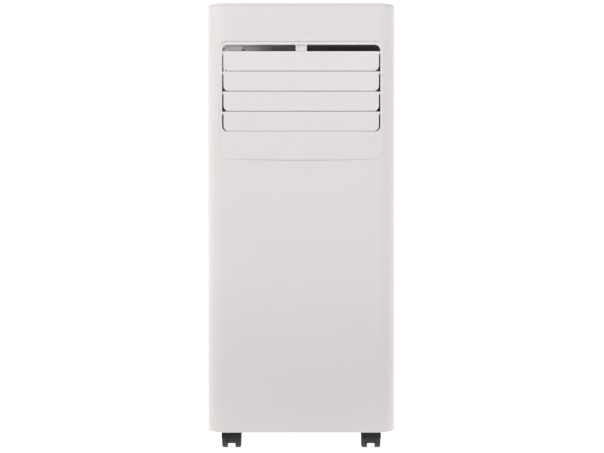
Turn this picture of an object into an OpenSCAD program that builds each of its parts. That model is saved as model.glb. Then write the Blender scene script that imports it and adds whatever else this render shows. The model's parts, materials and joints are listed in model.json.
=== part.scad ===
/* [Cabinet] */
// Width of the cabinet
body_w = 292; // [284:1:380]
// Depth of the cabinet, without the exhaust collar that stands proud of its back
body_d = 320; // [316:1:420]
// Height from the floor to the top
total_h = 700; // [690:1:880]
// Height of the cabinet's underside above the floor
floor_gap = 38; // [37:0.5:46]
// Radius of the cabinet's upright corners
corner_r = 29; // [18:1:36]
// Rounding of the top cover's outer edge
top_edge_r = 4; // [2:0.5:5.5]
// Thickness of the cabinet's walls
wall = 2.5; // [2:0.1:3.5]
// Distance from the front face to the seam between the front and rear shells
front_depth = 96; // [70:1:130]
// Visible height of the top cover above the shells
top_cover_h = 4.5; // [4:0.5:12]
// Open width of a seam between two casing pieces
seam = 0.4; // [0.3:0.05:1]

/* [Outlet panel] */
// Width of the panel that carries the louvre
panel_w = 252; // [250:1:270]
// Height of the panel
panel_h = 181.5; // [170:0.5:220]
// Distance from the top of the cabinet down to the panel
panel_drop = 59.5; // [50:0.5:90]
// Radius of the panel's corners
panel_r = 12; // [6:1:20]
// Depth of the panel's louvre area behind the front face
panel_recess = 1.2; // [0.8:0.1:4]
// Thickness of the panel
panel_t = 3; // [2:0.1:4]
// How far the middle of the panel's lower edge sags below its ends
chin_sag = 1.8; // [1:0.1:5]
// Open gap round the panel
panel_gap = 0.15; // [0.1:0.05:0.5]

/* [Louvre] */
// Width of the louvre opening
louver_w = 243.6; // [200:0.2:244]
// Distance from the panel's top edge down to the opening
louver_drop = 5.1; // [4:0.1:20]
// Open slot left above the top blade
louver_slot = 10.3; // [6:0.1:20]
// Number of tilting blades
blade_count = 4; // [4:1:4]
// Distance between one blade and the next
blade_pitch = 30.9; // [26:0.1:31]
// Open gap between one blade and the next
blade_gap = 0.7; // [0.6:0.1:2]
// Height of the sill under the bottom blade
sill_rise = 0.4; // [0.2:0.1:0.4]
// Open gap between a blade's end and the side of the opening
blade_side_gap = 2.3; // [1.5:0.1:4]
// Thickness of a blade
blade_t = 2.6; // [2:0.1:3.4]
// Radius of a blade's lower corners
blade_corner_r = 8; // [2:0.5:12]
// Radius of a blade's end pins
blade_pin_r = 2.3; // [1.5:0.1:3]
// Radius of the corners of the louvre opening
louver_r = 9; // [3:0.5:12]

/* [Vanes] */
// Number of upright vanes behind the blades
vane_count = 5; // [5:1:5]
// Distance between one vane and the next
vane_pitch = 46; // [40:1:48]
// Depth of a vane from front to back
vane_depth = 30; // [24:1:34]
// Thickness of a vane
vane_t = 1.8; // [1.4:0.1:3]

/* [Controls] */
// Width of the control panel
controls_w = 196; // [170:1:220]
// Depth of the control panel from front to back
controls_d = 70; // [60:1:90]
// Distance from the front face back to the control panel
controls_back = 34; // [32:1:60]
// Radius of a button
button_r = 7; // [5:0.5:9]
// Travel of a button
button_travel = 1.2; // [0.8:0.1:2]

/* [Air path] */
// Width of the two grilles in the back
grille_w = 226; // [200:1:232]
// Height of the upper grille
upper_grille_h = 176; // [150:1:200]
// Height of the lower grille
lower_grille_h = 186; // [150:1:190]
// Inner radius of the exhaust collar
exhaust_r = 62; // [50:1:64]
// How far the exhaust collar stands out of the back
rear_proud = 20; // [12:1:30]
// Radius of both blower wheels
wheel_r = 58; // [48:1:70]
// Depth of both blower wheels
wheel_depth = 46; // [36:1:48]
// Number of blades round each blower wheel
impeller_count = 32; // [20:1:40]

/* [Cold and hot sides] */
// Radius of the compressor's shell
compressor_r = 48; // [40:1:50]
// Height of the compressor's shell
compressor_h = 168; // [140:1:180]
// Thickness of both heat exchangers
coil_t = 30; // [22:1:36]
// Radius of the refrigerant pipes
pipe_r = 3.2; // [2.5:0.1:4]
// Radius of the condensate drain openings
drain_r = 7; // [5:0.5:9]

/* [Casters] */
// Radius of a caster's wheels
caster_wheel_r = 16; // [13:0.5:16]
// Width of one wheel
caster_wheel_w = 8.6; // [6:0.1:10]
// Width of a caster over its hood
caster_w = 30.7; // [28:0.1:34]
// Distance between a caster's swivel axis and its axle
caster_trail = 10; // [9:0.5:12]
// Distance between the swivel axes of the left and right casters
caster_span = 222.6; // [180:0.2:224]
// Distance from the front face, and from the back, to the nearest swivel axis
caster_inset = 65; // [50:1:70]
// Radius of a caster's steel stem
stem_r = 3.8; // [3:0.1:4]

/* [Hidden] */
$fn = 64;
eps = 0.5;
fit = 0.3;
running = 0.05;

// Planes and edges of the cabinet
y_front = -(body_d + rear_proud) / 2;
y_back = y_front + body_d;
y_seam = y_front + front_depth;
y_mid = (y_front + y_back) / 2;
z_base = floor_gap;
z_shell = total_h - top_cover_h;
inner_x = body_w / 2 - wall;
inner_front = y_front + wall;
inner_back = y_back - wall;

// Base pan and top cover
pan_t = 3;
pan_rim = 22;
pan_floor = z_base + pan_t;
boss_wall = 3.5;
boss_h = 14;
deck_t = 3;
skirt_h = 12;
cap_edge_r = min(top_edge_r, top_cover_h - seam - 0.1);

// Outlet panel and louvre
panel_z1 = total_h - panel_drop;
panel_z0 = panel_z1 - panel_h;
louver_y = y_front + panel_recess;
louver_z1 = panel_z1 - louver_drop;
louver_h = louver_slot + blade_count * blade_pitch;
louver_z0 = louver_z1 - louver_h;
chin_top = louver_z0 - 6;
chin_steps = 8;
chin_gap = 0.35;
cheek_t = 3;
tunnel_depth = 36;
tunnel_y1 = y_front + tunnel_depth;

// Tilting blades, their pins and their link bar
blade_h = blade_pitch - blade_gap;
blade_w = louver_w - 2 * blade_side_gap;
pin_inset = 0.7;
pin_y = louver_y + blade_pin_r + pin_inset;
lug_back = 12.5;
lug_down = 23;
lug_t = 2.4;
lug_r = 2.6;
link_pin_r = 1.6;
link_t = 2.2;
link_slack = 0.25;
link_x = 92;
link_gap = 0.3;
tab_w = 17;
tab_wall = 2;
tab_depth = 14;

// Upright vanes
vane_y = tunnel_y1 + 4 + vane_depth / 2;
vane_lift = 6;
vane_z0 = louver_z0 + vane_lift;
vane_z1 = louver_z1 - 3;
vane_pin_r = 2;
vane_link_back = 11;
vane_link_w = 6;
vane_link_t = 3;
vane_link_z = louver_z0 + 2;

// Blower scrolls: both wheels turn about an axis along Y
scroll_wall = 2;
scroll_start = wheel_r + 9;
scroll_growth = 25;
scroll_end = scroll_start + scroll_growth;
scroll_depth = wheel_depth + 14;
scroll_tongue = 50;
scroll_x = -20;
scroll_outlet = scroll_start * cos(scroll_tongue);
scroll_step = 10;
inlet_r = wheel_r - 10;
duct_wall = 2;
duct_y1 = vane_y + vane_depth / 2 + 4 + scroll_depth;
upper_scroll_y = duct_y1 - scroll_depth;
lower_scroll_y = duct_y1 + 2;
motor_r = 38;
upper_motor_l = 40;
lower_motor_l = 24;
shaft_r = 4;

// Openings in the back
lower_grille_z = z_base + 34;
upper_grille_z = total_h - 52 - upper_grille_h;
exhaust_x = 30;
exhaust_z = (lower_grille_z + lower_grille_h + upper_grille_z) / 2;
collar_wall = 4;
collar_flange = 10;
grille_t = wall - 0.1;
window_r = 6;
ledge_w = 6;
ledge_t = 2;

// Tray between the cold and the hot side, and the blowers below and above it
tray_z = lower_grille_z + lower_grille_h + ledge_w + 8;
tray_t = 3;
tray_rim = 8;
tray_margin = wall + 2.4;
tray_lip = 2;
lower_z = z_base + pan_rim + fit + scroll_end + scroll_wall + 2;
lower_rise = tray_z - fit - lower_z;
upper_z = tray_z + tray_t + tray_rim + 4 + scroll_end + scroll_wall;
upper_rise = louver_z0 - duct_wall - fit - upper_z;
filter_t = 6;
filter_back = 6;
drain_x = -92;
spout_back = 8;
spout_out = 2;
drain_z = z_base + 13;
tray_drain_z = tray_z + tray_t + drain_r + 3;
gland_x = 92;
gland_r = 8;
gland_bore = 3.6;
duct_half = exhaust_r + collar_wall + 4;

// Side grips
grip_l = 96;
grip_h = 30;
grip_depth = 22;
grip_y = 25;
grip_z = total_h - 112;
grip_wall = 2;

// Heat exchangers
coil_w = grille_w + 2;
coil_y = inner_back - 16 - coil_t;
coil_plate_t = 1.6;
condenser_z = z_base + pan_rim + 2;
condenser_h = lower_grille_h - 8;
tube_r = 4;
tube_pitch = 22;

// Compressor
compressor_x = -inner_x + compressor_r + 14;
compressor_y = inner_front + compressor_r + 6;
foot_h = 12;
foot_r = 11;
foot_ring = compressor_r + 4;
compressor_z = pan_floor + foot_h;
bottle_x = compressor_r + 20;
bottle_h = 110;
riser_x = tray_margin + tray_lip + fit + pipe_r - body_w / 2;
riser_gap = 11;

// Controls
panel_sink = 1.5;
controls_t = 3;
controls_y = y_front + controls_back + controls_d / 2;
controls_z = total_h - panel_sink;
controls_r = 12;
button_pitch = 24;
button_row = -14;
button_gap = 0.25;
button_flange = 1.5;
display_w = 62;
display_d = 22;
display_row = 14;
display_r = 4;
display_t = 1.2;
display_rim = 3;
panel_flange = 3;
post_r = 2.6;
post_x = 52;
post_y = 24;
button_chamfer = 0.6;
button_sink = 0.3;
plunger_r = 1.8;
switch_w = 6;
switch_h = 3.4;
board_t = 1.6;
solder = 0.1;
board_z = controls_z - 20;

// Casters
caster_r_gap = 1.2;
hood_t = 1.8;
web_half = caster_w / 2 - caster_wheel_w - 0.5;
axle_r = 2.4;
wheel_side = caster_w / 2 - 0.3;
stem_top = z_base + boss_h - 2;
stem_bottom = 19;
caster_x = caster_span / 2;
CASTERS = [
    [-caster_x, y_front + caster_inset],
    [caster_x, y_front + caster_inset],
    [-caster_x, y_back - caster_inset],
    [caster_x, y_back - caster_inset],
];

// Case screws: the rear shell onto the pan, the tray and the top cover
screw_r = 1.9;
screw_head_r = 3.6;
screw_head_t = 2.2;
screw_l = 12;
recess_half = 2.2;
recess_slot = 0.5;
recess_deep = 1.2;
screw_x = inner_x - 34;
SCREWS = [
    [-screw_x, z_base + 12],
    [screw_x, z_base + 12],
    [-screw_x, tray_z + 6],
    [screw_x, tray_z + 6],
    [-screw_x, z_shell - 7],
    [screw_x, z_shell - 7],
];
BUTTONS = [
    "button_power", "button_mode", "button_temp_down",
    "button_temp_up", "button_fan", "button_timer",
];

// ---- Shared shapes ----

// Flat rectangle with round corners, centred
module round_rect(w, h, r) {
    square([w - 2 * r, h], center = true);
    square([w, h - 2 * r], center = true);
    for (x = [-1, 1], y = [-1, 1])
        translate([x * (w / 2 - r), y * (h / 2 - r)])
            circle(r);
}

// Slot with half-round ends, long along X
module slot_outline(l, h) {
    square([l - h, h], center = true);
    for (x = [-1, 1])
        translate([x * (l - h) / 2, 0])
            circle(h / 2);
}

// Upright prism of the cabinet's outline, drawn in by a margin
module upright(margin, z0, z1) {
    translate([0, y_mid, z0])
        linear_extrude(z1 - z0)
            round_rect(body_w - 2 * margin, body_d - 2 * margin, corner_r - margin);
}

// Outline in X and Z, pushed back along Y from y0 to y1
module facing(y0, y1) {
    translate([0, y1, 0])
        rotate([90, 0, 0])
            linear_extrude(y1 - y0)
                children();
}

// Outline in Y and Z, pushed along X from x0 to x1
module sideways(x0, x1) {
    translate([x0, 0, 0])
        rotate([90, 0, 90])
            linear_extrude(x1 - x0)
                children();
}

// Box from its lowest to its highest corner
module box(low, high) {
    translate(low)
        cube(high - low);
}

// A shape and its mirror image on the other side
module both_sides() {
    children();
    mirror([1, 0, 0])
        children();
}

// Round bar along Y
module bar_y(x, z, r, y0, y1) {
    translate([x, y0, z])
        rotate([-90, 0, 0])
            cylinder(r = r, h = y1 - y0);
}

// Round bar along X
module bar_x(y, z, r, x0, x1) {
    translate([x0, y, z])
        rotate([0, 90, 0])
            cylinder(r = r, h = x1 - x0);
}

// ---- Casing ----

// Half outline of a slab with a rounded upper edge
module edge_profile(half, h) {
    square([half - cap_edge_r, h]);
    square([half, h - cap_edge_r]);
    translate([half - cap_edge_r, h - cap_edge_r])
        circle(cap_edge_r);
}

module mirrored_profile(half, h) {
    edge_profile(half, h);
    mirror([1, 0])
        edge_profile(half, h);
}

// Slab of the cabinet's outline with its upper edge rounded
module rounded_slab(h) {
    straight_x = body_w - 2 * corner_r;
    straight_y = body_d - 2 * corner_r;
    for (x = [-1, 1], y = [-1, 1])
        translate([x * straight_x / 2, y * straight_y / 2])
            rotate_extrude()
                edge_profile(corner_r, h);
    rotate([90, 0, 90])
        translate([0, 0, -straight_x / 2])
            linear_extrude(straight_x)
                mirrored_profile(body_d / 2, h);
    rotate([90, 0, 0])
        translate([0, 0, -straight_y / 2])
            linear_extrude(straight_y)
                mirrored_profile(body_w / 2, h);
}

// Opening in the back, grown by a margin
module back_window(w, z0, h, margin) {
    translate([0, z0 + h / 2])
        round_rect(w + 2 * margin, h + 2 * margin, max(window_r + margin, 1.5));
}

// Outline of the outlet panel in X and Z, drawn in by a margin, its lower edge sagging in the middle
module panel_outline(margin, sag) {
    half = panel_w / 2 - panel_r;
    bow_r = (half * half + sag * sag) / (2 * sag);
    translate([0, (panel_z0 + panel_z1) / 2])
        round_rect(panel_w - 2 * margin, panel_h - 2 * margin, panel_r - margin);
    intersection() {
        translate([0, panel_z0 - sag + bow_r])
            circle(bow_r - margin);
        translate([-half, panel_z0 - 2 * sag])
            square([2 * half, 4 * sag]);
    }
}

module front_shell() {
    tongue_t = 1.6;
    tongue_root = 10;
    tongue_reach = 6;
    tongue_z0 = z_base + 30;
    tongue_z1 = z_shell - 20;
    color("whitesmoke") {
        difference() {
            upright(0, z_base, z_shell);
            upright(wall, z_base - eps, z_shell + eps);
            box([-body_w, y_seam - seam, 0], [body_w, y_back + eps, total_h]);
            facing(y_front - eps, y_front + panel_recess + panel_t + fit)
                panel_outline(0, chin_sag);
        }
        both_sides() {
            box([inner_x - tongue_t - fit, y_seam - tongue_root, tongue_z0],
                [inner_x + eps, y_seam - seam, tongue_z1]);
            box([inner_x - tongue_t - fit, y_seam - tongue_root, tongue_z0],
                [inner_x - fit, y_seam + tongue_reach, tongue_z1]);
        }
    }
}

// Moulded cup behind one side grip
module grip_cup(grow, depth, x1) {
    sideways(inner_x - depth, x1)
        translate([grip_y, grip_z])
            slot_outline(grip_l + 2 * grow, grip_h + 2 * grow);
}

module rear_shell() {
    color("whitesmoke")
        difference() {
            union() {
                difference() {
                    upright(0, z_base, z_shell);
                    upright(wall, z_base - eps, z_shell + eps);
                    box([-body_w, y_front - eps, 0], [body_w, y_seam, total_h]);
                }
                facing(inner_back - ledge_t, inner_back + eps)
                    back_window(grille_w, upper_grille_z, upper_grille_h, ledge_w);
                facing(inner_back - ledge_t, inner_back + eps)
                    back_window(grille_w, lower_grille_z, lower_grille_h, ledge_w);
                both_sides()
                    grip_cup(grip_wall, grip_depth + grip_wall, inner_x + eps);
            }
            facing(inner_back, y_back + eps)
                back_window(grille_w, upper_grille_z, upper_grille_h, fit);
            facing(inner_back, y_back + eps)
                back_window(grille_w, lower_grille_z, lower_grille_h, fit);
            facing(inner_back - ledge_t - eps, y_back)
                back_window(grille_w, upper_grille_z, upper_grille_h, -ledge_w);
            facing(inner_back - ledge_t - eps, y_back)
                back_window(grille_w, lower_grille_z, lower_grille_h, -ledge_w);
            both_sides()
                grip_cup(0, grip_depth, body_w / 2 + eps);
            bar_y(exhaust_x, exhaust_z, exhaust_r + collar_wall + fit, inner_back - eps, y_back + eps);
            bar_y(drain_x, tray_drain_z, drain_r + 2 + fit, inner_back - eps, y_back + eps);
            bar_y(drain_x, drain_z, drain_r + 2 + fit, inner_back - eps, y_back + eps);
            bar_y(gland_x, drain_z, gland_r + fit, inner_back - eps, y_back + eps);
            for (s = SCREWS)
                bar_y(s[0], s[1], screw_r + fit, inner_back - eps, y_back + eps);
        }
}

module top_cover() {
    skirt = wall + fit;
    boss_r = screw_r + boss_wall - 1;
    color("whitesmoke")
        difference() {
            union() {
                difference() {
                    translate([0, y_mid, z_shell - cap_edge_r])
                        rounded_slab(top_cover_h + cap_edge_r);
                    upright(-eps, z_shell - 3 * cap_edge_r, z_shell + seam);
                }
                upright(skirt, z_shell - skirt_h, total_h - deck_t);
                for (s = [SCREWS[4], SCREWS[5]])
                    bar_y(s[0], s[1], boss_r, inner_back - screw_l, inner_back - skirt + wall);
            }
            difference() {
                upright(skirt + wall, z_shell - skirt_h - eps, total_h - deck_t);
                for (s = [SCREWS[4], SCREWS[5]])
                    bar_y(s[0], s[1], boss_r, inner_back - screw_l, inner_back);
            }
            for (s = [SCREWS[4], SCREWS[5]])
                bar_y(s[0], s[1], screw_r + running, inner_back - screw_l - eps, inner_back);
            translate([0, controls_y, total_h - deck_t - eps])
                linear_extrude(deck_t + 2 * eps)
                    round_rect(controls_w, controls_d, controls_r);
        }
}

module base_pan() {
    rim = wall + fit;
    color("lightgrey")
        difference() {
            union() {
                difference() {
                    upright(rim, z_base, z_base + pan_rim);
                    upright(rim + 2, pan_floor, z_base + pan_rim + eps);
                }
                for (c = CASTERS)
                    translate([c[0], c[1], z_base])
                        cylinder(r = stem_r + boss_wall, h = boss_h);
                for (s = [SCREWS[0], SCREWS[1]])
                    bar_y(s[0], s[1], screw_r + boss_wall - 1, inner_back - screw_l, inner_back - 1);
                bar_y(drain_x, drain_z, drain_r + 2, inner_back - spout_back, y_back + spout_out);
            }
            for (c = CASTERS)
                translate([c[0], c[1], z_base - eps])
                    cylinder(r = stem_r + running, h = stem_top - z_base + eps);
            for (s = [SCREWS[0], SCREWS[1]])
                bar_y(s[0], s[1], screw_r + running, inner_back - screw_l - eps, inner_back);
            bar_y(drain_x, drain_z, drain_r, inner_back - spout_back - eps, y_back + spout_out + eps);
            bar_y(gland_x, drain_z, gland_r + fit, inner_back - spout_back, inner_back + eps);
        }
}

module case_screws() {
    color("silver")
        for (s = SCREWS) {
            bar_y(s[0], s[1], screw_r, inner_back - screw_l + 2, y_back + eps);
            difference() {
                bar_y(s[0], s[1], screw_head_r, y_back, y_back + screw_head_t);
                box([s[0] - recess_slot, y_back + screw_head_t - recess_deep, s[1] - recess_half],
                    [s[0] + recess_slot, y_back + screw_head_t + eps, s[1] + recess_half]);
                box([s[0] - recess_half, y_back + screw_head_t - recess_deep, s[1] - recess_slot],
                    [s[0] + recess_half, y_back + screw_head_t + eps, s[1] + recess_slot]);
            }
        }
}

// ---- Air outlet ----

// Louvre opening in X and Z, grown by a margin
module louver_outline(margin) {
    translate([0, (louver_z0 + louver_z1) / 2])
        round_rect(louver_w + 2 * margin, louver_h + 2 * margin, louver_r + margin);
}

// How far the panel's face lies behind the cabinet's front at a share t of the way down the chin
function chin_y(t) = y_front + panel_recess * (1 - t * t);

module panel_section() {
    chin_bottom = panel_z0 - chin_sag;
    face = [for (i = [0:chin_steps]) [
        chin_y(i / chin_steps),
        chin_top + (chin_bottom - chin_top) * i / chin_steps,
    ]];
    polygon(concat(
        [[louver_y + panel_t, panel_z1], [louver_y, panel_z1]],
        face,
        [[louver_y + panel_t, chin_bottom]]
    ));
}

// Tab that steadies the middle of the slot above the top blade
module centre_tab() {
    tab_z0 = louver_z1 - louver_slot + 0.4;
    tab_line = tab_z0 + 2.6;
    both_sides()
        box([tab_w / 2 - tab_wall, louver_y + 0.4, tab_z0],
            [tab_w / 2, louver_y + tab_depth, louver_z1 + 1]);
    box([-tab_w / 2, louver_y + 2.6, tab_z0], [tab_w / 2, louver_y + 4.6, louver_z1 + 1]);
    box([-tab_w / 2, louver_y + 1, tab_z0], [tab_w / 2, louver_y + 4, tab_line]);
}

// Low sill that narrows the gap under the bottom blade
module louver_sill() {
    half = louver_w / 2 - louver_r;
    box([-half, louver_y, louver_z0 - cheek_t / 2], [half, louver_y + panel_t, louver_z0 + sill_rise]);
}

// Height of the pins of blade number k, counted from the top
function blade_z(k) = louver_z1 - louver_slot - blade_pin_r - (k - 1) * blade_pitch;

module outlet_frame() {
    color("whitesmoke")
        difference() {
            union() {
                intersection() {
                    sideways(-panel_w / 2, panel_w / 2)
                        panel_section();
                    facing(y_front - eps, y_front + 20)
                        panel_outline(panel_gap, chin_sag - chin_gap);
                    upright(0, z_base, z_shell);
                }
                difference() {
                    facing(louver_y + panel_t - eps, tunnel_y1)
                        louver_outline(cheek_t);
                    facing(louver_y, tunnel_y1 + eps)
                        louver_outline(0);
                }
                centre_tab();
                louver_sill();
            }
            difference() {
                facing(y_front - eps, louver_y + panel_t + eps)
                    louver_outline(0);
                centre_tab();
                louver_sill();
            }
            for (k = [1:blade_count])
                bar_x(pin_y, blade_z(k), blade_pin_r + running, -louver_w / 2 - cheek_t - eps,
                    louver_w / 2 + cheek_t + eps);
        }
}

// Blade number k, hung from its end pins at its upper corners
module louver_blade(k) {
    bottom = blade_pin_r - blade_h;
    edge_r = blade_t / 2;
    face = -blade_pin_r - pin_inset;
    color("whitesmoke")
        translate([0, pin_y, blade_z(k)]) {
            intersection() {
                sideways(-blade_w / 2, blade_w / 2) {
                    translate([face, bottom + edge_r])
                        square([blade_t, blade_h - 2 * edge_r]);
                    for (z = [bottom + edge_r, blade_pin_r - edge_r])
                        translate([face + edge_r, z])
                            circle(edge_r);
                    circle(blade_pin_r);
                    translate([face + edge_r, -blade_pin_r])
                        square([-face - edge_r, 2 * blade_pin_r]);
                }
                facing(face - eps, blade_pin_r + eps)
                    translate([0, bottom + blade_h / 2]) {
                        round_rect(blade_w, blade_h, blade_corner_r);
                        translate([-blade_w / 2, 0])
                            square([blade_w, blade_h / 2]);
                    }
            }
            bar_x(0, 0, blade_pin_r, -louver_w / 2 - cheek_t + fit, louver_w / 2 + cheek_t - fit);
            sideways(link_x - lug_t / 2, link_x + lug_t / 2)
                lug_outline(face + blade_t - 0.4);
            bar_x(lug_back, -lug_down, link_pin_r, link_x, link_x + lug_t / 2 + link_gap + link_t + 0.4);
        }
}

// Side view of the lug that carries a blade's link pin
module lug_outline(root) {
    polygon([
        [root, -lug_down + 12],
        [lug_back, -lug_down + lug_r],
        [lug_back, -lug_down - lug_r],
        [root, -lug_down - lug_r + 2],
    ]);
    translate([lug_back, -lug_down])
        circle(lug_r);
}

// Bar that makes the blades tilt together; the top hole is the fitted one
module louver_link() {
    x0 = link_x + lug_t / 2 + link_gap;
    color("lightgrey")
        difference() {
            sideways(x0, x0 + link_t)
                for (k = [1, blade_count]) {
                    translate([pin_y + lug_back, blade_z(k) - lug_down])
                        circle(lug_r);
                    translate([pin_y + lug_back - lug_r, blade_z(blade_count) - lug_down])
                        square([2 * lug_r, (blade_count - 1) * blade_pitch]);
                }
            for (k = [1:blade_count])
                bar_x(pin_y + lug_back, blade_z(k) - lug_down,
                    link_pin_r + (k == 1 ? running : link_slack), x0 - eps, x0 + link_t + eps);
        }
}

// Duct that leads the air from the upper blower to the louvre
module outlet_duct() {
    color("dimgrey")
        difference() {
            facing(tunnel_y1 + fit, duct_y1)
                louver_outline(duct_wall);
            difference() {
                facing(tunnel_y1, duct_y1 - duct_wall)
                    louver_outline(0);
                duct_fairing();
            }
            box([scroll_x + scroll_outlet, upper_scroll_y + scroll_wall, louver_z0 - duct_wall - eps],
                [scroll_x + scroll_end, duct_y1 - duct_wall, louver_z0 + 4]);
            for (k = [1:vane_count])
                translate([vane_x(k), vane_y, louver_z0 - duct_wall - eps])
                    cylinder(r = vane_pin_r + running, h = louver_h + 2 * duct_wall + 2 * eps);
        }
}

// Slanted wall that spreads the air from the blower towards the far side
module duct_fairing() {
    start = vane_y + vane_depth / 2 + 5;
    translate([0, 0, louver_z0 - eps])
        linear_extrude(louver_h + 2 * eps)
            polygon([
                [-louver_w / 2 - eps, start],
                [-louver_w / 2 + 4, start],
                [scroll_x + scroll_outlet - 8, duct_y1 - duct_wall],
                [-louver_w / 2 - eps, duct_y1],
            ]);
}

// Place of vane number k, counted from the left
function vane_x(k) = (k - (vane_count + 1) / 2) * vane_pitch;

module vane(k) {
    half = (vane_depth - vane_t) / 2;
    color("gainsboro")
        translate([vane_x(k), vane_y, 0]) {
            box([-vane_t / 2, -half, vane_z0], [vane_t / 2, half, vane_z1]);
            for (y = [-half, half])
                translate([0, y, vane_z0])
                    cylinder(r = vane_t / 2, h = vane_z1 - vane_z0);
            translate([0, 0, louver_z0 - duct_wall + fit])
                cylinder(r = vane_pin_r, h = louver_h + 2 * duct_wall - 2 * fit);
            translate([0, -vane_link_back, vane_link_z - 0.6])
                cylinder(r = link_pin_r, h = vane_z0 - vane_link_z + 2);
            translate([0, -vane_link_back, vane_z0])
                cylinder(r = link_pin_r + 0.8, h = 4);
        }
}

// Bar that makes the vanes swing together; the middle hole is the fitted one
module vane_link() {
    span = (vane_count - 1) * vane_pitch;
    color("gainsboro")
        difference() {
            translate([0, vane_y - vane_link_back, vane_link_z])
                linear_extrude(vane_link_t)
                    slot_outline(span + vane_link_w, vane_link_w);
            for (k = [1:vane_count])
                translate([vane_x(k), vane_y - vane_link_back, vane_link_z - eps])
                    cylinder(r = link_pin_r + (2 * k == vane_count + 1 ? running : link_slack),
                        h = vane_link_t + 2 * eps);
        }
}

// ---- Controls ----

// Place of button number i, counted from the left
function button_x(i) = (i - (len(BUTTONS) - 1) / 2) * button_pitch;

module control_panel() {
    bottom = controls_z - controls_t;
    color("gainsboro")
        translate([0, controls_y, 0])
            difference() {
                union() {
                    translate([0, 0, bottom])
                        linear_extrude(controls_t)
                            round_rect(controls_w - 2 * fit, controls_d - 2 * fit, controls_r - fit);
                    translate([0, 0, bottom])
                        linear_extrude(total_h - deck_t - bottom)
                            round_rect(controls_w + 2 * panel_flange, controls_d + 2 * panel_flange,
                                controls_r + panel_flange);
                    for (x = [-1, 1], y = [-1, 1])
                        translate([x * post_x, y * post_y, board_z])
                            cylinder(r = post_r, h = bottom - board_z + eps);
                }
                for (i = [0:len(BUTTONS) - 1])
                    translate([button_x(i), button_row, bottom - eps])
                        cylinder(r = button_r + button_gap, h = controls_t + 2 * eps);
                translate([0, display_row, controls_z - display_t])
                    linear_extrude(display_t + eps)
                        round_rect(display_w + fit, display_d + fit, display_r + fit / 2);
                translate([0, display_row, bottom - eps])
                    linear_extrude(controls_t)
                        round_rect(display_w - 2 * display_rim, display_d - 2 * display_rim, display_r / 2);
            }
}

module display_lens() {
    color([0.05, 0.05, 0.06])
        translate([0, controls_y + display_row, controls_z - display_t])
            linear_extrude(display_t)
                round_rect(display_w, display_d, display_r);
}

// Round push button number i, with the flange that keeps it in the panel
module push_button(i) {
    bottom = controls_z - controls_t - button_flange;
    top = total_h - button_sink;
    switch_z = board_z + switch_h + solder * 2;
    color("white")
        translate([button_x(i), controls_y + button_row, 0]) {
            translate([0, 0, bottom])
                cylinder(r = button_r + 1.2, h = button_flange);
            translate([0, 0, bottom])
                cylinder(r = button_r, h = top - bottom - button_chamfer);
            translate([0, 0, top - button_chamfer - eps])
                cylinder(r = button_r - button_chamfer, h = button_chamfer + eps);
            translate([0, 0, switch_z + button_travel])
                cylinder(r = plunger_r, h = bottom - switch_z - button_travel + eps);
        }
}

module control_board() {
    board_w = 152;
    board_d = 62;
    board_front = -32;
    hole_x = 72;
    hole_y = 27;
    chip = [11, 20, 9];
    display_body = [52, 14, 8];
    color("darkgreen")
        translate([0, controls_y, board_z - board_t]) {
            difference() {
                translate([-board_w / 2, board_front, 0])
                    cube([board_w, board_d, board_t]);
                for (x = [-1, 1], y = [-1, 1])
                    translate([x * hole_x, y * hole_y, -eps])
                        cylinder(r = screw_r, h = board_t + 2 * eps);
            }
            for (i = [0:len(BUTTONS) - 1])
                translate([button_x(i) - switch_w / 2, button_row - switch_w / 2, board_t - solder])
                    cube([switch_w, switch_w, switch_h]);
            translate([-display_body[0] / 2, display_row - 8, board_t - solder])
                cube(display_body);
            translate([63, -28, board_t - solder])
                cube(chip);
        }
}

// ---- Back ----

// Frame of tilted slats that fills a window in the back
module louvred_grille(w, z0, h) {
    border = 9;
    slat_pitch = 8.4;
    slat_h = 7;
    slat_t = 1.5;
    slat_tilt = 32;
    bar_half = 1.5;
    slats = floor((h - 2 * border) / slat_pitch);
    first = z0 + h / 2 - (slats - 1) * slat_pitch / 2;
    difference() {
        facing(y_back - grille_t, y_back)
            back_window(w, z0, h, 0);
        facing(y_back - grille_t - eps, y_back + eps)
            back_window(w, z0, h, -border);
    }
    for (x = [-1, 0, 1])
        box([x * w / 4 - bar_half, y_back - grille_t - 1, z0 + border - 1],
            [x * w / 4 + bar_half, y_back - 1.4, z0 + h - border + 1]);
    for (i = [0:slats - 1])
        translate([0, y_back - 2.2, first + i * slat_pitch])
            rotate([slat_tilt, 0, 0])
                cube([w - 2 * border + 1, slat_t, slat_h], center = true);
}

module filter_grille() {
    clip_r = 2.5;
    clip_inset = ledge_w + clip_r + fit + 0.2;
    clip_x = grille_w / 2 - clip_inset;
    pull_z = upper_grille_z + upper_grille_h - 8;
    pull_r = 14;
    pull_wall = 3;
    color("whitesmoke") {
        louvred_grille(grille_w, upper_grille_z, upper_grille_h);
        for (x = [-clip_x, clip_x], z = [clip_inset, upper_grille_h - clip_inset])
            bar_y(x, upper_grille_z + z, clip_r, y_back - filter_back, y_back - grille_t + eps);
        difference() {
            bar_y(0, pull_z, pull_r, y_back - grille_t, y_back + 3);
            box([-pull_r - eps, y_back - grille_t - eps, pull_z],
                [pull_r + eps, y_back + 4, pull_z + pull_r + eps]);
            bar_y(0, pull_z, pull_r - pull_wall, y_back - eps, y_back + 4);
        }
    }
}

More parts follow.
